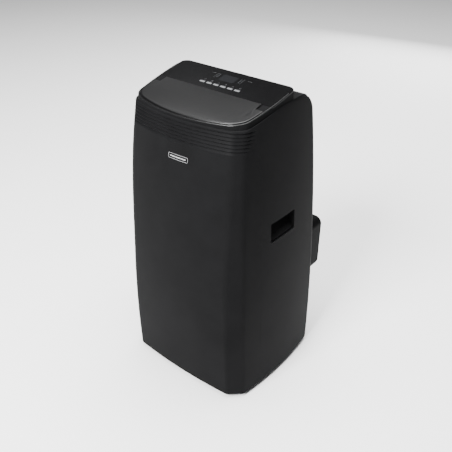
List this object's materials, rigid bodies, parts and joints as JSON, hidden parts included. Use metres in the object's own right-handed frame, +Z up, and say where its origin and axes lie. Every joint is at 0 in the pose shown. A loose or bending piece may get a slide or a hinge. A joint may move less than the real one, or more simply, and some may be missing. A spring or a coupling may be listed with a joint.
{
  "type": "portable air conditioner",
  "caption": "Upright portable air conditioner on casters, with a hinged outlet flap, sloping control panel with keys, side grips and a rear hot air outlet.",
  "frame": {"origin": "on the floor, under the middle of the outer box", "axes": "+Z up, the front faces -Y, +X is the unit's left-hand side seen from behind and the pictured side"},
  "size_m": [0.3596, 0.352, 0.705],
  "materials": {
    "casing_black": "fine satin grain",
    "grille_black": "satin",
    "flap_black": "fine satin grain",
    "panel_gloss": "polished",
    "display_lens": "polished, smoked",
    "key_silver": "silver satin",
    "board_green": "solder mask",
    "duct_grey": "satin",
    "motor_steel": "zinc plated",
    "drain_plastic": "moulded",
    "plug_rubber": "moulded",
    "screw_steel": "blackened",
    "pan_steel": "galvanised",
    "fork_plastic": "moulded nylon",
    "wheel_plastic": "moulded nylon",
    "fan_plastic": "moulded",
    "scroll_foam": "moulded, white",
    "coil_aluminium": "finned",
    "compressor_black": "black enamel",
    "foot_rubber": "moulded",
    "copper": "bright copper",
    "capacitor_aluminium": "drawn can",
    "filter_mesh": "woven mesh in a frame"
  },
  "bodies": {
    "casing": {"front_shell": "casing_black", "side_panel_left": "casing_black", "side_panel_right": "casing_black", "rear_panel": "casing_black", "top_cover": "casing_black", "control_panel": "panel_gloss", "display_window": "display_lens", "control_board": "board_green", "outlet_duct": "duct_grey", "vane_motor": "motor_steel", "flap_motor": "motor_steel", "grip_cup_left": "casing_black", "grip_cup_right": "casing_black", "exhaust_housing": "grille_black", "drain_spouts": "drain_plastic", "cord_gland": "drain_plastic", "rear_screws": "screw_steel", "base_pan": "pan_steel", "cool_fan_scroll": "scroll_foam", "cool_fan_motor": "motor_steel", "heat_fan_scroll": "scroll_foam", "heat_fan_motor": "motor_steel", "evaporator_coil": "coil_aluminium", "condenser_coil": "coil_aluminium", "tray": "scroll_foam", "compressor": "compressor_black", "compressor_feet": "foot_rubber", "accumulator": "compressor_black", "copper_pipes": "copper", "control_box": "pan_steel", "run_capacitor": "capacitor_aluminium"},
    "upper_intake": {"upper_grille": "grille_black", "upper_filter": "filter_mesh"},
    "lower_intake": {"lower_grille": "grille_black", "lower_filter": "filter_mesh"},
    "outlet_flap": {"outlet_flap": "flap_black"},
    "vane_link": {"vane_link": "duct_grey"},
    "vane_1": {"vane_1": "duct_grey"},
    "vane_2": {"vane_2": "duct_grey"},
    "vane_3": {"vane_3": "duct_grey"},
    "vane_4": {"vane_4": "duct_grey"},
    "vane_5": {"vane_5": "duct_grey"},
    "key_1": {"key_1": "key_silver"},
    "key_2": {"key_2": "key_silver"},
    "key_3": {"key_3": "key_silver"},
    "key_4": {"key_4": "key_silver"},
    "key_5": {"key_5": "key_silver"},
    "key_6": {"key_6": "key_silver"},
    "cool_fan_wheel": {"cool_fan_wheel": "fan_plastic"},
    "heat_fan_wheel": {"heat_fan_wheel": "fan_plastic"},
    "drain_plug_low": {"drain_plug_low": "plug_rubber"},
    "drain_plug_mid": {"drain_plug_mid": "plug_rubber"},
    "caster_fork_1": {"caster_fork_1": "fork_plastic"},
    "caster_wheel_1": {"caster_wheel_1": "wheel_plastic"},
    "caster_fork_2": {"caster_fork_2": "fork_plastic"},
    "caster_wheel_2": {"caster_wheel_2": "wheel_plastic"},
    "caster_fork_3": {"caster_fork_3": "fork_plastic"},
    "caster_wheel_3": {"caster_wheel_3": "wheel_plastic"},
    "caster_fork_4": {"caster_fork_4": "fork_plastic"},
    "caster_wheel_4": {"caster_wheel_4": "wheel_plastic"}
  },
  "joints": [
    {"name": "flap_hinge", "type": "hinge", "parent": "casing", "child": "outlet_flap", "pos_m": [0, -0.0466, 0.6839], "axis": [-1, 0, 0], "range_deg": [0, 70]},
    {"name": "vane_1_pivot", "type": "hinge", "parent": "casing", "child": "vane_1", "pos_m": [-0.08, -0.088, 0.626], "axis": [0, 0, 1], "range_deg": [-30, 30]},
    {"name": "vane_2_pivot", "type": "hinge", "parent": "casing", "child": "vane_2", "pos_m": [-0.04, -0.088, 0.626], "axis": [0, 0, 1], "range_deg": [-30, 30]},
    {"name": "vane_3_pivot", "type": "hinge", "parent": "casing", "child": "vane_3", "pos_m": [0, -0.088, 0.626], "axis": [0, 0, 1], "range_deg": [-30, 30]},
    {"name": "vane_4_pivot", "type": "hinge", "parent": "casing", "child": "vane_4", "pos_m": [0.04, -0.088, 0.626], "axis": [0, 0, 1], "range_deg": [-30, 30]},
    {"name": "vane_5_pivot", "type": "hinge", "parent": "casing", "child": "vane_5", "pos_m": [0.08, -0.088, 0.626], "axis": [0, 0, 1], "range_deg": [-30, 30]},
    {"name": "vane_link_slide", "type": "slide", "parent": "casing", "child": "vane_link", "axis": [1, 0, 0], "range_m": [-0.0091, 0.0091]},
    {"name": "key_1_press", "type": "slide", "parent": "casing", "child": "key_1", "axis": [0, 0.2062, -0.9785], "range_m": [0, 0.0008], "stiffness_N_per_m": 400, "springref_m": -0.0008},
    {"name": "key_2_press", "type": "slide", "parent": "casing", "child": "key_2", "axis": [0, 0.2062, -0.9785], "range_m": [0, 0.0008], "stiffness_N_per_m": 400, "springref_m": -0.0008},
    {"name": "key_3_press", "type": "slide", "parent": "casing", "child": "key_3", "axis": [0, 0.2062, -0.9785], "range_m": [0, 0.0008], "stiffness_N_per_m": 400, "springref_m": -0.0008},
    {"name": "key_4_press", "type": "slide", "parent": "casing", "child": "key_4", "axis": [0, 0.2062, -0.9785], "range_m": [0, 0.0008], "stiffness_N_per_m": 400, "springref_m": -0.0008},
    {"name": "key_5_press", "type": "slide", "parent": "casing", "child": "key_5", "axis": [0, 0.2062, -0.9785], "range_m": [0, 0.0008], "stiffness_N_per_m": 400, "springref_m": -0.0008},
    {"name": "key_6_press", "type": "slide", "parent": "casing", "child": "key_6", "axis": [0, 0.2062, -0.9785], "range_m": [0, 0.0008], "stiffness_N_per_m": 400, "springref_m": -0.0008},
    {"name": "cool_fan_spin", "type": "hinge", "parent": "casing", "child": "cool_fan_wheel", "pos_m": [0, 0, 0.47], "axis": [0, 1, 0], "continuous": true},
    {"name": "heat_fan_spin", "type": "hinge", "parent": "casing", "child": "heat_fan_wheel", "pos_m": [-0.05, 0, 0.2], "axis": [0, 1, 0], "continuous": true},
    {"name": "caster_1_swivel", "type": "hinge", "parent": "casing", "child": "caster_fork_1", "pos_m": [0.126, -0.1, 0.048], "axis": [0, 0, 1], "continuous": true},
    {"name": "caster_1_roll", "type": "hinge", "parent": "caster_fork_1", "child": "caster_wheel_1", "pos_m": [0.126, -0.086, 0.015], "axis": [1, 0, 0], "continuous": true},
    {"name": "caster_2_swivel", "type": "hinge", "parent": "casing", "child": "caster_fork_2", "pos_m": [-0.126, -0.1, 0.048], "axis": [0, 0, 1], "continuous": true},
    {"name": "caster_2_roll", "type": "hinge", "parent": "caster_fork_2", "child": "caster_wheel_2", "pos_m": [-0.126, -0.086, 0.015], "axis": [1, 0, 0], "continuous": true},
    {"name": "caster_3_swivel", "type": "hinge", "parent": "casing", "child": "caster_fork_3", "pos_m": [0.126, 0.1, 0.048], "axis": [0, 0, 1], "continuous": true},
    {"name": "caster_3_roll", "type": "hinge", "parent": "caster_fork_3", "child": "caster_wheel_3", "pos_m": [0.126, 0.114, 0.015], "axis": [1, 0, 0], "continuous": true},
    {"name": "caster_4_swivel", "type": "hinge", "parent": "casing", "child": "caster_fork_4", "pos_m": [-0.126, 0.1, 0.048], "axis": [0, 0, 1], "continuous": true},
    {"name": "caster_4_roll", "type": "hinge", "parent": "caster_fork_4", "child": "caster_wheel_4", "pos_m": [-0.126, 0.114, 0.015], "axis": [1, 0, 0], "continuous": true},
    {"name": "upper_intake_pull", "type": "slide", "parent": "casing", "child": "upper_intake", "axis": [0, 1, 0], "range_m": [0, 0.06]},
    {"name": "lower_intake_pull", "type": "slide", "parent": "casing", "child": "lower_intake", "axis": [0, 1, 0], "range_m": [0, 0.06]},
    {"name": "drain_plug_low_pull", "type": "slide", "parent": "casing", "child": "drain_plug_low", "axis": [0, 1, 0], "range_m": [0, 0.04]},
    {"name": "drain_plug_mid_pull", "type": "slide", "parent": "casing", "child": "drain_plug_mid", "axis": [0, 1, 0], "range_m": [0, 0.04]}
  ],
  "couplings": [
    {"joint": "vane_1_pivot", "follows": "vane_link_slide", "rad_per_m": -57.14},
    {"joint": "vane_2_pivot", "follows": "vane_link_slide", "rad_per_m": -57.14},
    {"joint": "vane_3_pivot", "follows": "vane_link_slide", "rad_per_m": -57.14},
    {"joint": "vane_4_pivot", "follows": "vane_link_slide", "rad_per_m": -57.14},
    {"joint": "vane_5_pivot", "follows": "vane_link_slide", "rad_per_m": -57.14}
  ]
}
